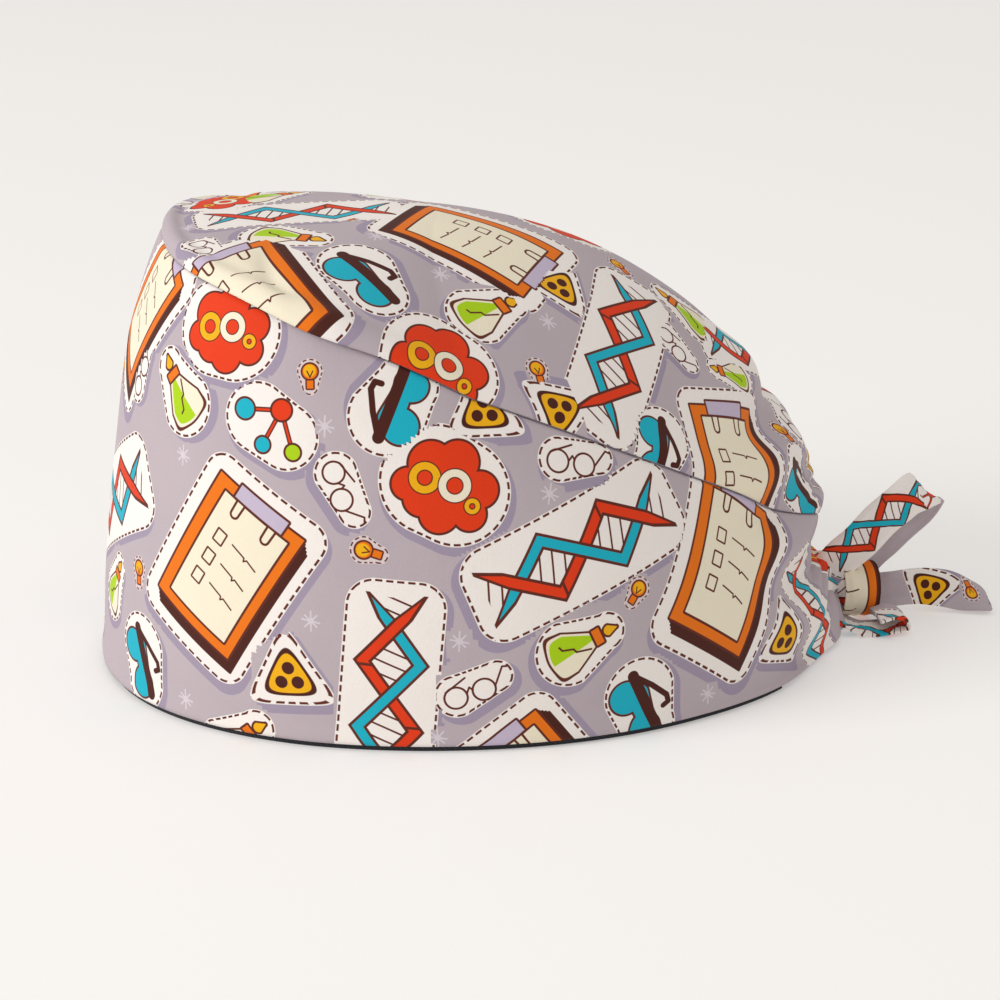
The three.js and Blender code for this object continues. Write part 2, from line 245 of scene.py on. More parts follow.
class Finish:
    """A material being drawn: its nodes, a place in mm on the cloth, and its colour."""

    def __init__(self, name):
        self.material = bpy.data.materials.new(name)
        self.material.use_nodes = True
        self.tree = self.material.node_tree
        self.tree.nodes.clear()
        spot = self.node("ShaderNodeAttribute", {"attribute_name": "print"})
        self.spot = spot.outputs["Vector"]

    def node(self, kind, settings=None, values=None):
        made = self.tree.nodes.new(kind)
        for key, setting in (settings or {}).items():
            setattr(made, key, setting)
        for key, value in (values or {}).items():
            value = value.socket if isinstance(value, Value) else value
            if isinstance(value, bpy.types.NodeSocket):
                self.tree.links.new(value, made.inputs[key])
            else:
                made.inputs[key].default_value = value
        return made

    def math(self, operation, *values):
        made = self.node("ShaderNodeMath", {"operation": operation},
                         dict(enumerate(values)))
        return Value(self, made.outputs[0])

    def vector(self, operation, *values):
        """Vector Math on sockets or number triples; DOT, LENGTH and DISTANCE give a
        Value."""
        made = self.node("ShaderNodeVectorMath", {"operation": operation},
                         dict(enumerate(values)))
        if operation in ("DOT_PRODUCT", "LENGTH", "DISTANCE"):
            return Value(self, made.outputs["Value"])
        return made.outputs["Vector"]

    def mix(self, factor, first, second):
        made = self.node("ShaderNodeMix", {"data_type": "RGBA"},
                         {0: factor, 6: first, 7: second})
        return made.outputs[2]

    def noise(self, scale, detail=2.0):
        """Noise over the object, scale in features per metre."""
        place = self.node("ShaderNodeTexCoord").outputs["Object"]
        made = self.node("ShaderNodeTexNoise", values={
            "Vector": place, "Scale": scale, "Detail": detail})
        return Value(self, made.outputs["Fac"])

    # Distances in mm from the spot to a shape, negative inside it.
    def disc(self, x, y, radius):
        return self.vector("DISTANCE", self.spot, (x, y, 0.0)) - radius

    def across(self, x, y):
        """The spot's part along the direction (x, y)."""
        return self.vector("DOT_PRODUCT", self.spot, (x, y, 0.0))

    def straight(self, x0, y0, x1, y1):
        """Where the nearest point of a straight line lies along it, 0 to 1, and the
        distance to that point."""
        run = (x1 - x0, y1 - y0)
        square = run[0] ** 2 + run[1] ** 2
        away = self.vector("SUBTRACT", self.spot, (x0, y0, 0.0))
        part = self.vector("DOT_PRODUCT", away, (run[0] / square, run[1] / square, 0.0))
        part = self.math("MINIMUM", self.math("MAXIMUM", part, 0.0), 1.0)
        foot = self.node("ShaderNodeVectorMath", {"operation": "SCALE"},
                         {"Vector": (*run, 0.0), "Scale": part}).outputs["Vector"]
        return part, self.vector("DISTANCE", away, foot)

    def line(self, *points):
        """Distance to an open line through the points."""
        return self.merge(*(self.straight(*start, *end)[1]
                            for start, end in zip(points, points[1:])))

    def slab(self, x, y, half_x, half_y, radius, turn=0.0):
        """Rounded rectangle: the distance outside a smaller one, less the radius."""
        away = self.vector("SUBTRACT", self.spot, (x, y, 0.0))
        if turn:
            made = self.node("ShaderNodeVectorRotate", {"rotation_type": "Z_AXIS"},
                             {"Vector": away, "Angle": -np.radians(turn)})
            away = made.outputs["Vector"]
        over = self.vector("SUBTRACT", self.vector("ABSOLUTE", away),
                           (half_x - radius, half_y - radius, 0.0))
        outside = self.vector("LENGTH", self.vector("MAXIMUM", over, (0.0, 0.0, 0.0)))
        parts = self.node("ShaderNodeSeparateXYZ", values={"Vector": over})
        inside = self.math("MAXIMUM", *(Value(self, parts.outputs[k]) for k in "XY"))
        return outside + self.math("MINIMUM", inside, 0.0) - radius

    def egg(self, x0, y0, r0, x1, y1, r1):
        """Two round ends and the straight flanks between: the distance to the line
        joining them, less a radius that changes evenly along it."""
        part, distance = self.straight(x0, y0, x1, y1)
        return distance - (part * (r1 - r0) + r0)

    def hull(self, *sides):
        """Convex shape of sides (direction in degrees, distance out), corners eased."""
        distances = [self.across(float(np.cos(a)), float(np.sin(a))) - out
                     for a, out in ((np.radians(direction), out) for direction, out in sides)]
        return reduce(lambda best, d: self.math("SMOOTH_MAX", best, d, 7.0), distances)

    def merge(self, *shapes):
        """All of the shapes: the least of their distances."""
        return reduce(lambda best, shape: self.math("MINIMUM", best, shape), shapes)

    def shared(self, *shapes):
        """The part that all the shapes share: the greatest of their distances."""
        return reduce(lambda best, shape: self.math("MAXIMUM", best, shape), shapes)

    def fill(self, shape, colour):
        """Lay a colour over all of a shape, with an edge a seventh of a mm soft."""
        cover = self.node("ShaderNodeClamp", values={"Value": 0.5 - shape * 7.0})
        self.colour = self.mix(cover.outputs[0], self.colour, colour)

    def outline(self, shape, half):
        self.fill(abs(shape) - half, BROWN)

    def drawn(self, shape, colour, half):
        """A shape in one colour, with a brown line round it."""
        self.fill(shape, colour)
        self.outline(shape, half)


GROUND = srgb(190, 177, 182)
GROUND_DEEP = srgb(181, 168, 176)
SHADOW = srgb(160, 147, 167)
STICKER = srgb(243, 236, 231)
BROWN = srgb(96, 40, 26)
ORANGE = srgb(233, 116, 12)
DARK = srgb(74, 28, 18)
CREAM = srgb(240, 230, 206)
RED = srgb(226, 58, 14)
YELLOW = srgb(240, 176, 14)
TEAL = srgb(20, 176, 198)
LIME = srgb(170, 208, 14)
LILAC = srgb(196, 182, 204)
BLUSH = srgb(218, 202, 202)
SNOW = srgb(212, 202, 210)

DASH = 3.0                       # pitch of the dashed edge, mm
PEN = 0.34                       # half width of the drawn lines
SHADE = (1.2, -1.7)              # how far a sticker's shadow lies from it


def start_cloth(name):
    """Ground of the print: a lilac grey, a little cloudy."""
    ink = Finish(name)
    ink.colour = ink.mix(ink.noise(38.0), GROUND, GROUND_DEEP)
    return ink


def finish_cloth(ink):
    """Cotton surface: fine thread bump and slightly uneven dryness, under the print."""
    threads = ink.noise(2600.0, 1.0)
    wrinkles = ink.noise(70.0, 3.0)
    height = threads * 0.35 + wrinkles * 1.2
    relief = ink.node("ShaderNodeBump", values={
        "Strength": 0.4, "Distance": 0.0007, "Height": height})
    shader = ink.node("ShaderNodeBsdfPrincipled", values={
        "Base Color": ink.colour, "Roughness": 0.6 + threads * 0.16,
        "Normal": relief.outputs["Normal"]})
    shader.inputs["Specular IOR Level"].default_value = 0.2
    shader.inputs["Sheen Weight"].default_value = 0.04
    shader.inputs["Sheen Roughness"].default_value = 0.5
    ink.node("ShaderNodeOutputMaterial", values={"Surface": shader.outputs[0]})
    return ink.material


def sticker(ink, outline, turns):
    """White sticker with a dashed line near its edge and a shadow beside it.  outline
    gives the distance to its edge when it is moved by x, y and grown; turns is the
    angle that goes once round for each dash."""
    ink.fill(outline(SHADE[0], SHADE[1], 0.7), SHADOW)
    edge = outline(0.0, 0.0, 0.0)
    ink.fill(edge, STICKER)
    gaps = ink.math("SINE", turns) * 1.5 + 0.75
    ink.fill(ink.math("MAXIMUM", abs(edge + 0.6) - 0.33, -gaps), BROWN)


def around_middle(ink, dashes):
    """Angle round the middle of the motif, times the number of dashes."""
    return ink.math("ARCTAN2", ink.across(0, 1), ink.across(1, 0)) * dashes


def egg_sticker(ink, x0, y0, r0, x1, y1, r1):
    """A sticker shaped like an egg on two round ends."""
    length = np.pi * (r0 + r1) + 2 * np.hypot(x1 - x0, y1 - y0)
    sticker(ink, lambda x, y, grow: ink.egg(x0 + x, y0 + y, r0 + grow,
                                            x1 + x, y1 + y, r1 + grow),
            around_middle(ink, round(length / DASH)))


def slab_sticker(ink, half_x, half_y, radius):
    """A sticker shaped like a rounded rectangle, its dashes counted along the side that
    is nearer."""
    x, y = ink.across(1, 0), ink.across(0, 1)
    beside = ink.math("GREATER_THAN", abs(x) - half_x, abs(y) - half_y)
    along = y * beside + x * (1.0 - beside)
    sticker(ink, lambda x, y, grow: ink.slab(x, y, half_x + grow, half_y + grow, radius),
            along * (2 * np.pi / DASH))


def draw_cloud(ink):
    """Thunder-red cloud with three bubbles."""
    egg_sticker(ink, -3.5, 1.0, 15.3, 3.0, -1.0, 14.8)
    lobes = [(-10.5, -1.5, 4.6), (-5.5, 5.0, 6.4), (1.5, 7.0, 6.0), (9.0, 1.0, 5.2),
             (7.5, -6.0, 4.8), (-0.5, -7.5, 5.6), (-6.0, -4.5, 5.2), (0.0, 0.0, 7.5)]
    cloud = ink.merge(*(ink.disc(*lobe) for lobe in lobes))
    ink.drawn(cloud, RED, PEN)
    for x, y, r, half, colour in ((-6.4, 1.0, 3.2, 1.0, YELLOW), (2.0, 0.6, 3.4, 1.0, CREAM),
                                  (7.8, -3.8, 1.5, 0.6, YELLOW)):
        ring = abs(ink.disc(x, y, r)) - half
        ink.fill(ring - 0.35, BROWN)
        ink.fill(ring, colour)


def draw_clipboard(ink):
    """Orange clipboard in thick relief with a sheet of ticked rows."""
    slab_sticker(ink, 20.0, 27.4, 6.5)
    for step in (0.5, 1.0, 1.5, 2.0):
        edge = ink.slab(1.3 * step - 0.6, -1.5 * step + 0.8, 14.6, 21.2, 0.5)
        ink.fill(edge, DARK)
    board = ink.slab(-0.6, 0.8, 14.6, 21.2, 0.4)
    ink.drawn(board, ORANGE, PEN)
    paper = ink.slab(-0.2, 0.7, 11.1, 17.9, 0.3)
    ink.drawn(paper, CREAM, PEN)
    for y in (6.8, 0.0, -6.8):
        ink.outline(ink.slab(-5.6, y, 1.6, 1.9, 0.2), 0.27)
        wave = ink.line((-1.4, y + 0.9), (3.2, y + 0.2), (3.5, y - 0.7), (4.2, y + 0.1),
                        (7.6, y - 0.8))
        ink.fill(wave - 0.24, BROWN)
    for x in (-5.4, 5.2):
        hook = ink.egg(x, 18.1, 1.3, x, 15.0, 1.2)
        ink.drawn(hook, CREAM, PEN)
    clip = ink.slab(0.0, 21.0, 8.2, 2.3, 0.3)
    ink.drawn(clip, LILAC, PEN)


def draw_helix(ink):
    """Two zigzag strands that cross in the middle of each stretch, with rungs between
    them and pointed ends."""
    slab_sticker(ink, 14.0, 34.0, 8.0)
    along, off = ink.across(0, 1), ink.across(1, 0)
    reach, stretch, end = 8.0, 20.0, 30.0
    swing = ink.math("PINGPONG", along + end, stretch) * (2 * reach / stretch) - reach
    slant = stretch / np.hypot(stretch, 2 * reach)
    ends = abs(along) - end
    half = ink.math("MINIMUM", -ends * 0.22, 1.6)
    rungs = ink.math("PINGPONG", along + 0.35 * off + 40.0, 1.9) - 0.3
    ink.fill(ink.shared(rungs, abs(off) - abs(swing), ends + 1.0), BROWN)

    def strand(at, colour, only):
        band = ink.shared(abs(off - at) * slant - half, *only)
        ink.fill(ink.shared(band - PEN * 1.4, ends), BROWN)
        ink.fill(ink.shared(band + PEN, ends), colour)

    strand(swing, RED, ())
    strand(-swing, TEAL, ())
    outer = 9.0 - abs(along)
    strand(swing, RED, (outer,))


def draw_flask(ink):
    """Round-bottomed bottle, half full, with a cork and a drop of flame."""
    egg_sticker(ink, 0.0, -3.4, 10.0, 0.0, 8.4, 5.8)
    body = ink.math("SMOOTH_MIN", ink.hull((-90, 9.2), (25, 3.6), (155, 3.6)),
                    ink.egg(0.0, -3.4, 6.3, 0.0, 4.4, 1.9), 2.5)
    ink.fill(body, CREAM)
    ink.fill(ink.shared(body + 1.0, ink.across(1, 0.1) - 0.6), LIME)
    ink.outline(body, PEN)
    squiggle = ink.line((2.2, 2.5), (0.8, -1.6), (-0.4, -2.0), (-1.6, -5.0), (-2.8, -5.4))
    ink.fill(squiggle - 0.3, BROWN)
    cork = ink.slab(0.0, 5.6, 2.7, 1.5, 0.4)
    ink.drawn(cork, ORANGE, PEN)
    flame = ink.egg(0.0, 9.2, 1.8, 0.4, 11.6, 0.5)
    ink.drawn(flame, YELLOW, PEN)


def draw_molecule(ink):
    """Four balls on double rods."""
    egg_sticker(ink, -4.0, 2.4, 10.6, 4.4, -3.0, 10.0)
    bonds = ink.merge(ink.line((-8.0, 4.8), (3.4, 4.6), (-2.6, -5.4)),
                      ink.line((3.4, 4.6), (6.6, -7.4)))
    ink.fill(bonds - 0.75, BROWN)
    ink.fill(bonds - 0.3, RED)
    for x, y, colour, r in ((-8.0, 4.8, TEAL, 3.2), (3.4, 4.6, RED, 3.2),
                            (-2.6, -5.4, TEAL, 2.5), (6.6, -7.4, LIME, 2.5)):
        ink.drawn(ink.disc(x, y, r), colour, PEN)


def draw_goggles(ink):
    """Wrap-round goggles seen from the side: two-lobed shield, thick arm, hooked end."""
    egg_sticker(ink, 0.2, 4.0, 11.2, 0.6, -6.0, 9.0)
    shield = ink.math("SMOOTH_MIN", ink.disc(-4.2, 4.4, 5.2), ink.disc(-0.4, -6.6, 4.9), 2.0)
    shield = ink.merge(shield, ink.egg(-0.6, 4.0, 3.6, 1.2, -8.0, 2.4))
    ink.drawn(shield, TEAL, PEN)
    ink.fill(ink.line((-1.0, 10.2), (3.8, -9.8)) - 1.7, DARK)
    hook = ink.line((-0.6, 10.0), (4.2, 5.4), (8.2, 0.6), (8.4, -1.6), (6.6, -2.2))
    ink.fill(hook - 0.85, DARK)


def draw_badge(ink):
    """Yellow three-sided badge with three dots."""
    def outline(x, y, grow):
        sides = [(a, out + grow + x * np.cos(np.radians(a)) + y * np.sin(np.radians(a)))
                 for a, out in ((-90, 7.4), (30, 7.6), (150, 7.6))]
        return ink.hull(*sides)

    sticker(ink, outline, around_middle(ink, 15))
    plate = ink.hull((-90, 4.9), (30, 5.1), (150, 5.1))
    ink.fill(plate, DARK)
    ink.fill(plate + 0.75, YELLOW)
    petals = ink.merge(*(ink.disc(2.5 * np.cos(a), 2.5 * np.sin(a), 1.65)
                         for a in np.radians((90, 210, 330))))
    ink.fill(petals, DARK)


def draw_glasses(ink):
    """Round spectacles with one folded and one open arm."""
    egg_sticker(ink, -5.0, -1.6, 6.6, 6.4, 2.2, 5.0)
    for x, y in ((-5.4, -2.2), (2.6, -1.0)):
        ink.outline(ink.disc(x, y, 3.2), 0.32)
    arms = ink.merge(ink.line((-8.0, -0.2), (-2.2, 3.4)),
                     ink.line((-2.3, -1.4), (-1.4, 0.4), (-0.5, -0.6)),
                     ink.line((5.8, -0.4), (8.4, 4.8), (9.6, 4.6)))
    ink.fill(arms - 0.3, BROWN)


def draw_bulb(ink):
    """Small lamp bulb on a blush egg with a thin dashed edge and no shadow."""
    edge = ink.egg(0.0, 1.0, 3.7, 0.0, -3.0, 2.4)
    ink.fill(edge, BLUSH)
    gaps = ink.math("SINE", around_middle(ink, 14.0)) * 1.5 + 0.4
    ink.fill(ink.math("MAXIMUM", abs(edge + 0.35) - 0.2, -gaps), BROWN)
    lamp = ink.disc(0, 1.1, 2.3)
    ink.fill(lamp, ORANGE)
    ink.fill(ink.disc(-0.1, 1.3, 1.7), YELLOW)
    ink.outline(lamp, 0.25)
    ink.fill(ink.line((-0.8, 1.2), (0.0, -0.4), (0.8, 1.2)) - 0.18, BROWN)
    base = ink.slab(0, -2.4, 1.1, 1.3, 0.3)
    ink.drawn(base, ORANGE, 0.22)


def draw_sparkle(ink):
    """Eight-rayed pale star."""
    rays = ink.merge(ink.line((-2.5, 0.3), (2.5, -0.3)), ink.line((0.2, -2.8), (-0.2, 2.8)),
                     ink.line((-1.6, -1.8), (1.6, 1.8)), ink.line((-1.8, 1.5), (1.8, -1.5)),
                     ink.disc(0.0, 0.0, 0.7))
    ink.fill(rays - 0.24, SNOW)


# Drawing; half the width and height of its sticker, and the corner radius of that, mm.
MOTIFS = {
    "cloud": (draw_cloud, 18.3, 16.0, 15.0),
    "clipboard": (draw_clipboard, 20.0, 27.4, 6.5),
    "helix": (draw_helix, 14.0, 34.0, 8.0),
    "flask": (draw_flask, 10.0, 13.8, 8.5),
    "molecule": (draw_molecule, 14.5, 13.0, 12.5),
    "goggles": (draw_goggles, 11.2, 15.1, 10.0),
    "badge": (draw_badge, 9.8, 9.8, 5.0),
    "glasses": (draw_glasses, 11.5, 7.7, 6.0),
    "bulb": (draw_bulb, 3.7, 5.1, 3.4),
    "sparkle": (draw_sparkle, 2.8, 2.8, 1.0),
}
CELL_MARGIN = 2.2                # how far past a sticker's shadow its cell goes, mm
PAPER_MARGIN = 0.8               # within this of a sticker, it goes before any shadow
PAPER_FIRST, NOWHERE = 99.0, 900.0
THROUGH_CLOTH = 28.0             # a motif prints nothing further than this from its plane


def printed(name, draw):
    ink = start_cloth(name)
    draw(ink)
    return finish_cloth(ink)


plain = finish_cloth(start_cloth("cotton_ground"))
PRINTS = [plain] + [printed("cotton_" + name, MOTIFS[name][0]) for name in MOTIFS]
KINDS = list(MOTIFS)


def lining_finish():
    """Inside of the cloth: the print's ground, pale and unprinted."""
    ink = Finish("cotton_back")
    ink.colour = ink.mix(ink.noise(60.0), srgb(196, 188, 198), srgb(206, 199, 207))
    return finish_cloth(ink)


lining = lining_finish()


def sweatband_twill_painted_shade():
    """Sweatband: twill with its own diagonal ribs 0.9 mm apart, coloured near-black as painted
    shade for the dark line under the rim.
    """
    ink = Finish("twill_painted_rim_shade")
    ribs = ink.math("SINE", ink.across(5.0, 5.0)) * 0.5 + 0.5
    # Near-black is painted shade standing for the dark line under the rim; the ribs are the
    # twill's own
    ink.colour = ink.mix(ribs, srgb(34, 34, 38), srgb(52, 52, 58))
    return finish_cloth(ink)


# ------------------------ the print's chart
# Motif, degrees round from the forehead, ring level, turn in degrees, size.
BAND_CHART = [
    ("cloud", 42, 3.62, 20, 0.92), ("cloud", 82.7, 2.78, 3, 1.01),
    ("flask", 32.5, 2.92, 50, 1.0), ("flask", 11.5, 0.9, -30, 0.85),
    ("flask", 100.5, 1.15, -58, 1.0), ("flask", 47.5, -0.12, -50, 1.0),
    ("molecule", 53, 2.9, 14, 0.95), ("clipboard", 44.5, 1.5, -29, 1.06),
    ("clipboard", 8.5, 3.4, -28, 1.0), ("clipboard", 94.0, -0.62, 38, 1.0),
    ("clipboard", 130.0, 2.5, -17, 1.06), ("helix", 4.5, 1.6, -62, 1.0),
    ("helix", 71.8, 0.52, -3, 1.0), ("helix", 102.7, 2.39, -53, 1.01),
    ("goggles", 75.0, 3.5, 165, 1.0), ("goggles", 25, 0.38, 8, 0.95),
    ("goggles", 109.5, 0.3, 14, 1.0), ("badge", 56.5, 0.62, 6, 1.12),
    ("badge", 91.5, 3.88, 20, 1.0), ("badge", 141, 0.95, -10, 1.0),
    ("glasses", 65.5, 2.48, -70, 0.95), ("glasses", 104, 3.62, 0, 1.0),
    ("glasses", 84.5, 0.65, 12, 1.0), ("glasses", 16.5, 2.9, 60, 0.85),
    ("bulb", 59.5, 3.48, 20, 1.0), ("bulb", 69, 1.95, 82, 1.1),
    ("bulb", 110.5, 1.93, -25, 1.0), ("bulb", 23, 1.2, 5, 1.0),
    ("sparkle", 62.5, 3.05, 10, 1.0), ("sparkle", 34.5, 2.38, 0, 1.0),
    ("sparkle", 60, 1.2, 0, 1.0), ("sparkle", 37, 0.18, 0, 1.0),
    ("sparkle", 99, 3.02, 0, 1.0), ("sparkle", 82.5, 1.15, 0, 1.0),
    ("sparkle", 79, 0.1, 0, 1.0), ("sparkle", 121.5, 0.3, 0, 1.0),
    ("helix", 155, 1.0, 22, 0.72), ("cloud", 179, 2.3, 6, 0.74),
    ("bulb", 166, 3.6, 20, 1.0), ("goggles", -24, 2.2, -20, 1.0),
    ("molecule", -9, 0.45, 20, 0.85), ("badge", -14, 2.95, 8, 0.95),
    ("bulb", -2, 2.65, 30, 1.0), ("sparkle", -12, 1.3, 0, 1.0),
]
CROWN_CHART = [
    ("glasses", 24.0, 4.95, -20, 0.78), ("glasses", 137, 6.35, -70, 0.8),
    ("helix", 0, 7.43, 0, 0.9), ("helix", 120.5, 6.05, -22, 0.95),
    ("helix", 176, 6.35, 50, 0.8), ("clipboard", 45, 4.2, 66, 0.92),
    ("clipboard", 104.5, 7.9, -125, 1.0),
    ("molecule", -88, 7.75, 40, 0.95), ("clipboard", 135, 4.3, 12, 1.0),
    ("flask", 34.5, 6.58, -60, 1.0), ("flask", 97.5, 6.15, -52, 1.0),
    ("goggles", 68, 6.05, 42, 1.05), ("goggles", 157, 4.53, 40, 0.9),
    ("goggles", 118.5, 4.3, -12, 0.88),
    ("badge", 116, 6.98, -30, 0.95), ("badge", 103, 4.4, 188, 1.0),
    ("cloud", 85, 4.42, 6, 0.97), ("cloud", -25, 5.85, 0, 0.8), ("sparkle", 4, 5.0, 0, 1.0),
    ("bulb", 30, 8.03, 0, 1.0), ("bulb", 102, 5.12, 20, 1.0),
    ("bulb", 157.5, 7.6, 0, 1.0), ("bulb", 160.5, 5.38, 0, 1.0),
    ("sparkle", 108, 6.23, 0, 1.0), ("sparkle", 91, 6.78, 0, 1.0),
    ("sparkle", 64, 7.4, 0, 1.0), ("sparkle", 150, 6.0, 0, 1.0),
    ("flask", 158, 6.95, 30, 0.95), ("flask", 150, 6.1, 80, 0.7),
    ("badge", 178, 4.95, 160, 1.0), ("cloud", -150, 7.9, 40, 0.9),
    ("glasses", 172, 5.5, 20, 0.9), ("bulb", -170, 4.4, 40, 1.0),
]
ONE_SIDE_TOP = 7.5
ONE_SIDE_FRONT, ONE_SIDE_BACK = 16, 165      # motifs past these are not repeated


def both_sides(chart):
    """The chart of the wearer's left side, and the same places on the right."""
    other = [(kind, -angle, level, -turn, size) for kind, angle, level, turn, size in chart
             if ONE_SIDE_FRONT < angle < ONE_SIDE_BACK and level < ONE_SIDE_TOP]
    return chart + other


def turned_frame(kind, middle, right, normal, turn, size):
    """A motif's kind and middle, its own right and up once turned, the cloth's normal
    there, and its size."""
    up = np.cross(normal, right)
    t = np.radians(turn)
    return (kind, middle, right * np.cos(t) + up * np.sin(t),
            up * np.cos(t) - right * np.sin(t), normal, size)


def cap_frames(chart):
    """Frames of the motifs charted on the cap.  A level below 0 goes on in a straight
    line under the hem."""
    frames = []
    for kind, degrees, level, turn, size in chart:
        angle, below = np.radians(degrees), min(level, 0.0)
        level = np.array(max(level, 0.0))
        middle = smooth_cap(angle, level)
        middle = middle + (smooth_cap(angle, level + 0.1) - middle) * 10 * below
        right = smooth_cap(angle + 0.004, level) - smooth_cap(angle - 0.004, level)
        right /= np.linalg.norm(right)
        frames.append(turned_frame(kind, middle, right, outward(angle, level), turn, size))
    return frames


def rounded_box(x, y, half_x, half_y, radius):
    """Distance to a rounded rectangle, negative inside it."""
    over_x, over_y = abs(x) - half_x + radius, abs(y) - half_y + radius
    outside = np.hypot(np.maximum(over_x, 0), np.maximum(over_y, 0))
    return outside + np.minimum(np.maximum(over_x, over_y), 0) - radius


def lay_print(corners, frames):
    """Give every face its nearest motif: material numbers, and for each corner the place
    in that motif's own plane.  corners is faces x corners x 3."""
    centres = corners.mean(1)
    best = np.full(len(centres), CELL_MARGIN)
    kind_at = np.zeros(len(centres), int)
    place = np.zeros(corners.shape)
    place[..., 0] = NOWHERE
    for kind, middle, right, up, normal, size in frames:
        _, half_x, half_y, radius = MOTIFS[kind]
        away = centres - middle
        u, v = away @ right / size, away @ up / size
        paper = rounded_box(u, v, half_x, half_y, radius)
        shade = rounded_box(u - SHADE[0] / 2, v - SHADE[1] / 2, half_x - SHADE[0] / 2 + 1.6,
                            half_y - SHADE[1] / 2 + 0.4, radius)
        gap = np.where(paper < PAPER_MARGIN, paper * size - PAPER_FIRST, shade * size)
        gap = np.where(abs(away @ normal) > THROUGH_CLOTH, NOWHERE, gap)
        nearer = gap < best
        best[nearer], kind_at[nearer] = gap[nearer], 1 + KINDS.index(kind)
        off = corners[nearer] - middle
        place[nearer] = np.stack([off @ right / size, off @ up / size,
                                  np.zeros(off.shape[:2])], -1)
    return kind_at, place


def lay_print_on(flat, parts, frames):
    """lay_print for several arrays of faces over the same points, one after another:
    their material numbers, and the places of all their corners."""
    laid = [lay_print(flat[faces], frames) for faces in parts]
    return (np.concatenate([kind_at for kind_at, _ in laid]),
            np.concatenate([place.reshape(-1, 3) for _, place in laid]))


# ------------------------ band and crown
def column_angles(count):
    even = np.arange(count) * 2 * np.pi / count
    return even + BACK_CROWDING * np.sin(even)


def crown_overhang(angle):
    """How far the crown's cloth bags over the seam, 0 to 1, left of the forehead."""
    return bell(abs((angle + np.pi) % (2 * np.pi) - np.pi), np.radians(60), np.radians(12))


def band_piece(columns=560, outer_rows=110, inner_rows=20):
    """Side band: a closed ring of cloth.  Rows go up outside, turn over at the seam, go
    down inside and turn under at the hem, each at its own level and depth."""
    outer = np.linspace(0.0, SEAM_LEVEL + 0.02, outer_rows)
    inner = np.linspace(SEAM_LEVEL - 0.01, 0.0, inner_rows)
    level = np.concatenate([outer, inner])
    lift = np.concatenate([np.zeros(outer_rows), np.full(inner_rows, -CLOTH)])
    tuck = 0.7 * bell(level, SEAM_LEVEL + 0.02, 0.06)       # the cloth turns into the seam
    hem = 0.45 * bell(level, 0.06, 0.08)                    # rolled hem
    angle = column_angles(columns)
    a, l = np.meshgrid(angle, level)
    height = (lift - tuck + hem * (lift == 0))[:, None] + np.zeros_like(a)
    height = height - 0.5 * crown_overhang(a) * bell(l, SEAM_LEVEL, 0.3) * (lift == 0)[:, None]
    points = cap_cloth(a, l, height).reshape(-1, 3)
    faces = ring_faces(len(level), columns, True)
    smooth = smooth_cap(a, l).reshape(-1, 3)
    kind_at, place = lay_print(smooth[faces], cap_frames(both_sides(BAND_CHART)))
    row = np.repeat(np.arange(len(level)), columns)
    kind_at[row >= outer_rows - 1] = len(PRINTS)
    # Bake map: four tiles of a quarter turn each, and a low strip for the inside.
    c = np.arange(columns)
    turn = np.tile(np.stack([c, c + 1, c + 1, c], -1) / columns, (len(level), 1))
    tile = np.minimum((turn.mean(1) * 4).astype(int), 3)[:, None]
    u = 0.01 + 0.49 * (turn * 4 - tile) * 0.98 + 0.5 * (tile % 2)
    rows = np.stack([row, row, row + 1, row + 1], -1)
    v = np.where((row >= outer_rows - 1)[:, None],
                 0.005 + 0.05 * (rows - outer_rows + 1) / (inner_rows + 1) + 0.06 * (tile // 2),
                 0.13 + 0.42 * rows / (outer_rows - 1) + 0.435 * (tile // 2))
    bake = np.stack([u, v], -1)
    piece = make_mesh("side_band_cloth", points, [faces], PRINTS + [lining], kind_at, place,
                      bake_at=bake.reshape(-1, 2))
    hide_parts("side_band")
    return piece


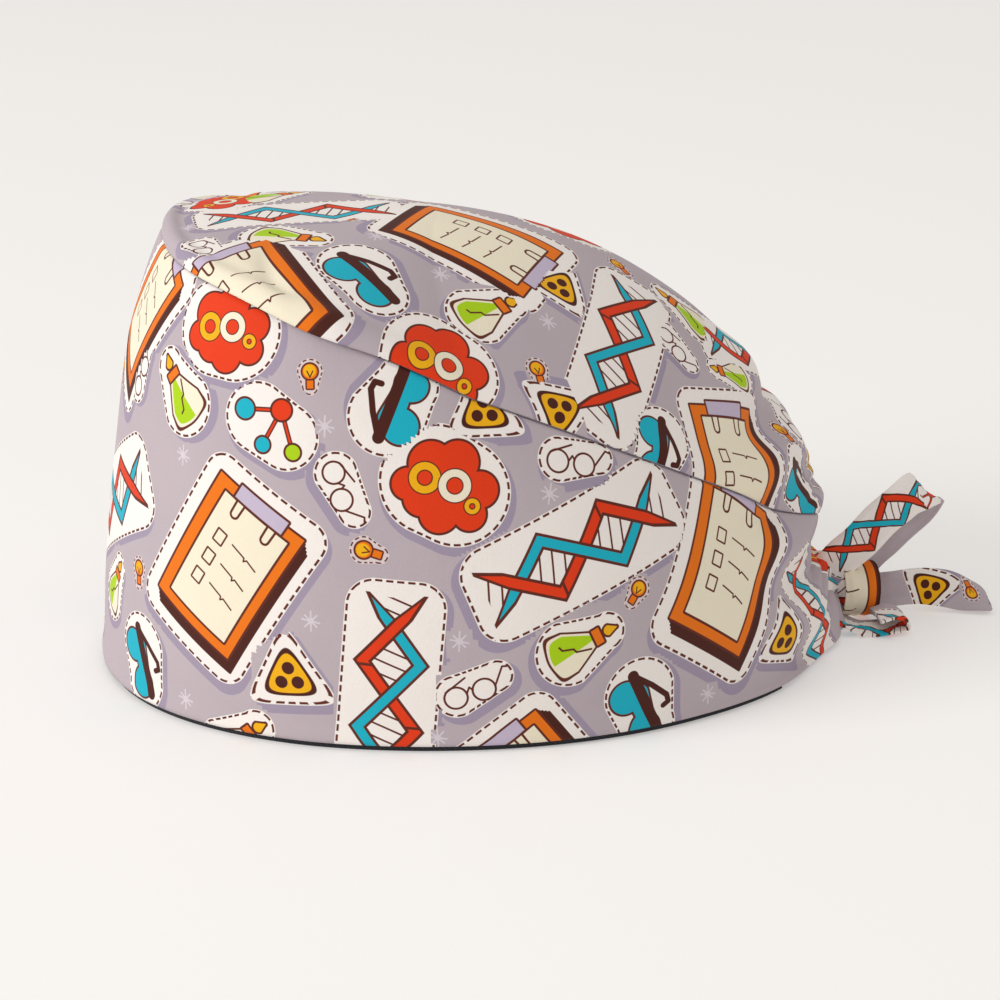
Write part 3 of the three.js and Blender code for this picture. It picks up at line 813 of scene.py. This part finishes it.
def crown_piece(columns=432, outer_rows=120, inner_rows=22):
    """Crown: a closed shell.  The outer cloth goes from the seam to a pole on top, the
    inner one back down, and they meet in the seam's turned edge."""
    spread = np.linspace(0.0, 1.0, outer_rows + 1)[:-1]
    outer = SEAM_LEVEL + 0.02 + (TOP_LEVEL - SEAM_LEVEL - 0.02) * spread
    spread_in = np.linspace(0.0, 1.0, inner_rows + 1)[:-1]
    inner = SEAM_LEVEL + 0.04 + (TOP_LEVEL - SEAM_LEVEL - 0.04) * spread_in
    angle = column_angles(columns)

    def sheet(levels, inset):
        a, l = np.meshgrid(angle, levels)
        hang = crown_overhang(a)
        low = bell(l, SEAM_LEVEL, 0.5)
        puff = 0.9 * bell(l, SEAM_LEVEL + 0.32, 0.34) * np.clip((l - SEAM_LEVEL) / 0.12, 0, 1)
        puff = puff + 1.5 * hang * bell(l, SEAM_LEVEL + 0.2, 0.5)
        crease = -1.5 * crown_crease(a, l)
        drop = 0.10 * hang * low
        return (cap_cloth(a, l - drop, puff + crease - inset), smooth_cap(a, l))

    out_points, out_smooth = sheet(outer, 0.0)
    in_points, in_smooth = sheet(inner, CLOTH)
    top = smooth_cap(0.0, np.array(TOP_LEVEL))
    down = np.array([0.0, 0.0, CLOTH])
    points = np.concatenate([out_points.reshape(-1, 3), in_points.reshape(-1, 3),
                             [top, top - down]])
    smooth = np.concatenate([out_smooth.reshape(-1, 3), in_smooth.reshape(-1, 3),
                             [top, top - down]])
    out_quads = ring_faces(outer_rows, columns, False)
    in_quads = ring_faces(inner_rows, columns, False)[:, ::-1] + outer_rows * columns
    c = np.arange(columns)
    c2 = (c + 1) % columns
    base = outer_rows * columns
    turned = np.stack([c2, c, base + c, base + c2], -1)     # the seam's edge
    last_out, last_in = (outer_rows - 1) * columns, base + (inner_rows - 1) * columns
    pole = base + inner_rows * columns
    caps = np.concatenate([
        np.stack([last_out + c, last_out + c2, np.full(columns, pole)], -1),
        np.stack([last_in + c2, last_in + c, np.full(columns, pole + 1)], -1)])
    quads = np.concatenate([out_quads, in_quads, turned])
    kind_at, place = lay_print_on(smooth, [quads, caps], cap_frames(both_sides(CROWN_CHART)))
    outside = np.concatenate([np.arange(len(quads)) < len(out_quads),
                              np.arange(len(caps)) < columns])
    kind_at[~outside] = len(PRINTS)
    # Bake map: the outside as one disc, the inside as a small one in a corner.
    level_of = np.concatenate([np.repeat(outer, columns), np.repeat(inner, columns),
                               [TOP_LEVEL, TOP_LEVEL]])
    angle_of = np.concatenate([np.tile(angle, outer_rows + inner_rows), [0.0, 0.0]])
    out_of = (TOP_LEVEL - level_of) / (TOP_LEVEL - SEAM_LEVEL)
    flat = np.stack([np.sin(angle_of), -np.cos(angle_of)], -1) * out_of[:, None]
    corner = np.concatenate([quads.ravel(), caps.ravel()])
    outside = np.repeat(outside, np.repeat([4, 3], [len(quads), len(caps)]))[:, None]
    bake = np.where(outside, 0.5 + 0.49 * flat[corner], 0.08 + 0.07 * flat[corner])
    piece = make_mesh("crown_cloth", points, [quads, caps], PRINTS + [lining], kind_at, place,
                      bake_at=bake)
    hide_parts("crown")
    return piece


def crown_crease(angle, level):
    """A soft crease slanting down the front of the crown on each side: a bell across a
    slanting line, fading at its ends."""
    degrees = abs(np.degrees((angle + np.pi) % (2 * np.pi) - np.pi))
    line = 44 + 10 * (5.4 - level)
    return bell(degrees, line, 4.0) * bell(level, 5.1, 0.8)


# ------------------------ sweatband
def sweatband_piece(columns=300, rows=12):
    """Sweatband: a strip inside the rim, open at the back, its near-black colour painted shade
    for the dark line under the hem.  Its section is a closed loop down the outer face and
    up the inner one, swept round the head, with flat ends."""
    angle = np.radians(np.linspace(-SWEATBAND_END, SWEATBAND_END, columns))
    top = SWEATBAND_LEVEL
    level = np.concatenate([np.linspace(top, 0.0, rows), np.linspace(0.0, top, rows)])
    inset = np.concatenate([np.full(rows, 1.4), np.full(rows, 2.3)])
    a, l = np.meshgrid(angle, level)
    lift = -inset[:, None] + np.zeros_like(a)
    points = cap_cloth(a, l, lift)
    # The strip's dark edge below the hem is a line of painted shade under the rim
    points[..., 2] -= 2.0 * bell(l, 0.0, 0.25)               # stands 2 mm below the hem
    points[..., 2] = np.maximum(points[..., 2], 0.0)
    around = 2 * rows
    r = np.arange(around)[:, None]
    c = np.arange(columns - 1)[None, :]
    r2 = (r + 1) % around
    quads = np.stack([r * columns + c, r2 * columns + c, r2 * columns + c + 1,
                      r * columns + c + 1], -1).reshape(-1, 4)
    k = np.arange(rows - 1)
    start = np.stack([k * columns, (around - 1 - k) * columns,
                      (around - 2 - k) * columns, (k + 1) * columns], -1)
    end = start[:, ::-1] + columns - 1
    faces = np.concatenate([quads, start, end])
    flat = np.stack([np.degrees(a) * 1.55, l * 31.0, np.zeros_like(a)], -1).reshape(-1, 3)
    piece = make_mesh("sweatband_cloth", points.reshape(-1, 3), [faces], [sweatband_twill_painted_shade()],
                      np.zeros(len(faces)), flat[faces])
    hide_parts("sweatband")
    return piece


# ------------------------ ties
TIE_WIDTH, TIE_THICK = 11.5, 1.5
PRESSED_WIDTH, WRAP_WIDTH = 12.5, 11.0           # of the loop and fold, and of the wrap
# Middle of each strip and the direction of its width.
LOOP_ROUTE = [
    (2.6, 107.4, 13.4, 0, .70, -.72), (3.6, 110.2, 17.4, 0, .70, -.72),
    (4.5, 113.6, 21.4, 0, .70, -.72), (5.4, 117.4, 25.4, 0, .70, -.72),
    (6.2, 121.4, 30.0, 0, .70, -.72), (6.6, 125.6, 34.4, 0, .70, -.72),
    (6.4, 129.8, 38.0, 0, .70, -.72), (5.0, 134.0, 40.4, 0, .72, -.70),
    (2.0, 138.0, 40.6, 0, .74, -.68), (-2.0, 140.4, 37.8, 0, .76, -.66),
    (-4.6, 139.2, 33.2, 0, .78, -.63), (-5.5, 135.0, 28.4, 0, .78, -.62),
    (-5.3, 130.2, 24.2, 0, .78, -.62), (-4.8, 125.6, 20.6, 0, .78, -.62),
    (-3.6, 121.4, 16.6, 0, .78, -.62)]
TAIL_ROUTE = [
    (1.0, 121.0, 8.0, 0, 0, 1),
    (-2.0, 126.4, 7.4, 0, 0, 1), (-2.0, 131.0, 7.8, 0, 0, 1),
    (-2.0, 136.4, 8.0, -.05, 0, 1), (-2.0, 141.8, 7.9, -.15, 0, 1),
    (-1.7, 147.2, 7.1, -.35, 0, 1), (-1.2, 152.4, 5.6, -.70, 0, 1),
    (-0.8, 157.2, 3.9, -1.20, 0, .8), (-0.4, 161.8, 1.8, -1.00, 0, .15)]
FOLD_ROUTE = [
    (9.0, 110.6, 3.4, 1, 0, 0),
    (12.0, 116.6, 1.3, 1, 0, 0), (12.6, 120.8, 1.2, 1, 0, 0),
    (13.0, 125.2, 1.3, 1, 0, 0), (13.4, 129.0, 2.0, 1, 0, 0),
    (13.8, 130.5, 3.7, 1, 0, 0), (14.0, 129.0, 5.4, 1, 0, 0),
    (14.2, 125.4, 6.0, 1, 0, 0), (14.4, 121.6, 5.6, 1, 0, 0)]


def smooth_route(route, count):
    """Catmull-Rom through the route's rows, ends extended in a straight line."""
    rows = np.array(route, float)
    table = np.vstack([2 * rows[0] - rows[1], rows, 2 * rows[-1] - rows[-2]])
    return curve_through(table, np.linspace(0, len(rows) - 1, count))


def flat_frames(chart):
    """Frames of the motifs on a flat strip, charted as kind, across, along, turn, size."""
    right, _, normal = np.eye(3)
    return [turned_frame(kind, np.array([at_across, at_along, 0.0]), right, normal, turn, size)
            for kind, at_across, at_along, turn, size in chart]


def strip_piece(name, node, route, chart, width=TIE_WIDTH, stations=150, section=32):
    """A tie: a flat cloth strip swept along its route.  The section is a flattened
    superellipse with a lengthwise crease, and the ends are closed flat."""
    path = smooth_route(route, stations)
    middle, across = path[:, :3], path[:, 3:]
    run = np.gradient(middle, axis=0)
    run /= np.linalg.norm(run, axis=1, keepdims=True)
    across = across - (across * run).sum(1, keepdims=True) * run
    across /= np.linalg.norm(across, axis=1, keepdims=True)
    face = np.cross(run, across)
    steps = np.linalg.norm(np.diff(middle, axis=0), axis=1)
    along = np.concatenate([[0], np.cumsum(steps)])
    turn = np.arange(section) * 2 * np.pi / section
    c, s = np.cos(turn), np.sin(turn)
    flat = np.sign(c) * abs(c) ** 0.7 * width / 2
    deep = np.sign(s) * abs(s) ** 0.55 * TIE_THICK / 2
    ripple = 0.35 * np.sin(along * 0.42)[:, None] * np.cos(2 * np.pi * flat / width)[None, :]
    ripple = ripple + 0.18 * np.cos(flat * 2.1 + 0.3)[None, :]
    points = (middle[:, None] + across[:, None] * flat[None, :, None]
              + face[:, None] * (deep[None, :, None] + ripple[..., None]))
    points[..., 2] = np.maximum(points[..., 2], 0.15)
    quads = ring_faces(stations, section, False)
    first_ring = np.arange(section)
    caps = np.concatenate([
        np.stack([np.full(section - 2, ring[0]), ring[1:-1], ring[2:]], -1)
        for ring in (first_ring[::-1], first_ring + (stations - 1) * section)])
    sheet = np.zeros((stations, section, 3))
    sheet[..., 0], sheet[..., 1] = flat[None, :], along[:, None]
    kind_at, place = lay_print_on(sheet.reshape(-1, 3), [quads, caps], flat_frames(chart))
    piece = make_mesh(name, points.reshape(-1, 3), [quads, caps], PRINTS, kind_at, place)
    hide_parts(node)
    return piece, float(along[-1])


# Knot of the two ties, an egg of wrapped cloth against the drawn-in back.
KNOT_MIDDLE = np.array([0.0, 118.0, 9.2])
KNOT_HALF = np.array([7.4, 6.6, 7.6])


def closed_lump(name, middle, shape, chart, flat):
    """A closed surface of rows from pole to pole round a middle, printed by a chart on
    its flat coordinates (across, along); shape is rows x columns x 3, in mm."""
    rows, columns = shape.shape[:2]
    poles = np.stack([shape[0].mean(0), shape[-1].mean(0)])
    points = middle + np.concatenate([shape.reshape(-1, 3), poles])
    quads = ring_faces(rows, columns, False)[:, ::-1]
    c = np.arange(columns)
    c2 = (c + 1) % columns
    n = rows * columns
    caps = np.concatenate([
        np.stack([c, c2, np.full(columns, n)], -1),
        np.stack([n - columns + c2, n - columns + c, np.full(columns, n + 1)], -1)])
    ends = np.stack([flat[0].mean(0), flat[-1].mean(0)])
    flat = np.concatenate([flat.reshape(-1, 3), ends])
    kind_at, place = lay_print_on(flat, [quads, caps], flat_frames(chart))
    piece = make_mesh(name, points, [quads, caps], PRINTS, kind_at, place)
    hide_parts("tie_knot")
    return piece


def knot_piece(rows=80, columns=140):
    """Knot: a squarish egg, its surface grooved where the wrapped ties lie over each
    other; the grooves are slanting bells round it."""
    down = np.linspace(0, np.pi, rows + 2)[1:-1][:, None]
    turn = (np.arange(columns) * 2 * np.pi / columns)[None, :]
    wraps = np.sin(2.1 * down + 1.6 * np.sin(turn + 0.9) + 0.4)
    grooves = -0.16 * np.exp(-(wraps / 0.2) ** 2) + 0.05 * np.sin(6 * turn + 4 * down)
    swell = 1 + (grooves - 0.04) * np.sin(down)

    def squared(v):
        return np.sign(v) * abs(v) ** 0.8

    shape = np.stack([squared(np.sin(down) * np.sin(turn)) * swell,
                      squared(-np.sin(down) * np.cos(turn)) * swell,
                      squared(np.cos(down)) * np.ones_like(turn) * swell], -1) * KNOT_HALF
    flat = np.stack([shape[..., 1], shape[..., 2], np.zeros(shape.shape[:2])], -1)
    return closed_lump("tie_knot_cloth", KNOT_MIDDLE, shape,
                       [("helix", 1.0, 0.0, 70, 0.6)], flat)


def neck_piece(rows=60, columns=260):
    """Gathered end of the back casing, from the cap's wall to the knot: round the
    line of the ties, its radius falls from the wall to a waist at the knot, and stands
    in lobes with sharp valleys that twist a little on the way."""
    run = np.linspace(0, 1, rows)[:, None]
    turn = (np.arange(columns) * 2 * np.pi / columns)[None, :]
    radius = 12.5 - 9.0 * run ** 0.7 + 2.6 * bell(run, 0.62, 0.2)
    lobes = abs(np.cos(3.5 * turn + 1.4 * run + 0.5 * np.sin(2 * turn))) ** 0.7 - 0.6
    fine = 0.35 * np.sin(11 * turn + 5 * run)
    radius = radius * (1 + 0.34 * lobes * np.sin(np.pi * run) ** 0.5) + fine * np.sin(np.pi * run)
    x = radius * np.sin(turn) * 0.82
    z = radius * np.cos(turn) + 2.0 * (1 - run)
    y = 14.5 * run + 1.1 * lobes * run + 0.0 * turn
    z = np.maximum(z, -9.6)
    shape = np.stack([x, y, z], -1)
    flat = np.stack([turn * 9.0 - 14.0 + 0 * run, y, np.zeros_like(x)], -1)
    chart = [("helix", -6.0, 7.0, 12, 0.5), ("badge", 9.0, 4.0, 60, 0.7),
             ("helix", 24.0, 7.0, -14, 0.5), ("molecule", 38.0, 6.0, 0, 0.5)]
    return closed_lump("casing_end_cloth", np.array([0.0, 99.5, 10.6]), shape, chart, flat)


def wrap_route():
    """Round of the tie that binds the knot: an egg-shaped ring over it, side to side,
    with its two ends overlapping underneath."""
    turn = np.linspace(-2.75, 3.6, 26)
    x, z = 8.0 * np.sin(turn), 9.6 + 7.9 * np.cos(turn)
    y = 118.6 + 0.9 * np.sin(turn + 0.5)
    return np.stack([x, y, np.maximum(z, 1.1), 0.10 * np.cos(turn), np.ones_like(turn),
                     -0.10 * np.sin(turn)], -1)


# ------------------------ build
band = band_piece()
crown = crown_piece()
sweatband = sweatband_piece()
knot_piece()
neck_piece()
loop, loop_length = strip_piece(
    "tie_loop_cloth", "tie_loop", LOOP_ROUTE,
    [("helix", -0.5, 25.0, -6, 0.62), ("molecule", 2.0, 43.0, 30, 0.5)],
    width=PRESSED_WIDTH)
tail, tail_length = strip_piece(
    "tie_tail_cloth", "tie_tail", TAIL_ROUTE,
    [("badge", -0.5, 23.0, 100, 0.85), ("bulb", 1.5, 36.0, 60, 0.9)])
fold, fold_length = strip_piece(
    "tie_fold_cloth", "tie_fold", FOLD_ROUTE, [("helix", 6.0, 14.0, 0, 0.6)],
    width=PRESSED_WIDTH)
wrap, wrap_length = strip_piece(
    "tie_wrap_cloth", "tie_knot", wrap_route(), [("clipboard", -9.0, 33.0, 0, 0.95)],
    width=WRAP_WIDTH)


# ------------------------ floor, light, camera
def plain_floor():
    """Pale floor, a disc wide enough to fill the view."""
    ink = Finish("studio_floor")
    ink.colour = ink.mix(ink.noise(3.0), srgb(217, 215, 213), srgb(218, 216, 214))
    shader = ink.node("ShaderNodeBsdfPrincipled", values={"Base Color": ink.colour})
    shader.inputs["Roughness"].default_value = 0.9
    shader.inputs["Specular IOR Level"].default_value = 0.1
    shader.inputs["Emission Color"].default_value = srgb(243, 241, 239)
    shader.inputs["Emission Strength"].default_value = 0.32
    ink.node("ShaderNodeOutputMaterial", values={"Surface": shader.outputs[0]})
    turn = np.arange(96) * 2 * np.pi / 96
    points = np.stack([12 * np.cos(turn), 12 * np.sin(turn), np.zeros(96)], -1)
    mesh = bpy.data.meshes.new("floor")
    mesh.from_pydata(points.tolist(), [], [list(range(96))])
    mesh.materials.append(ink.material)
    floor = bpy.data.objects.new("floor", mesh)
    bpy.context.scene.collection.objects.link(floor)


def softbox(name, place, aim, size, power):
    light = bpy.data.lights.new(name, "AREA")
    light.shape, light.size, light.size_y, light.energy = "RECTANGLE", size[0], size[1], power
    holder = bpy.data.objects.new(name, light)
    holder.location = place
    holder.rotation_euler = (Vector(aim) - Vector(place)).to_track_quat("-Z", "Y").to_euler()
    bpy.context.scene.collection.objects.link(holder)


plain_floor()
world = bpy.data.worlds.new("studio")
bpy.context.scene.world = world
world.use_nodes = True
sky = world.node_tree.nodes["Background"]
sky.inputs["Color"].default_value = srgb(243, 240, 236)
sky.inputs["Strength"].default_value = 0.62
middle = (0.0, 0.0, 0.06)
softbox("key", (0.6, -2.1, 1.1), middle, (1.1, 1.1), 30)
softbox("top", (0.2, 0.2, 3.4), middle, (3.0, 3.0), 18)

AZIMUTH, ELEVATION, DISTANCE = np.radians(81.0), np.radians(18.0), 0.95
target = Vector((0.0, float(RIM_SHIFT[1]) * MM, 0.058))
camera = bpy.data.cameras.new("camera")
camera.sensor_width, camera.lens = 36.0, 115.6
camera.shift_x, camera.shift_y = 0.029, -0.0445
camera.clip_end = 50.0
holder = bpy.data.objects.new("camera", camera)
holder.location = target + DISTANCE * Vector((
    float(np.sin(AZIMUTH) * np.cos(ELEVATION)),
    float(-np.cos(AZIMUTH) * np.cos(ELEVATION)), float(np.sin(ELEVATION))))
holder.rotation_euler = (target - holder.location).to_track_quat("-Z", "Y").to_euler()
bpy.context.scene.collection.objects.link(holder)
bpy.context.scene.camera = holder
bpy.context.scene.view_settings.view_transform = "Standard"
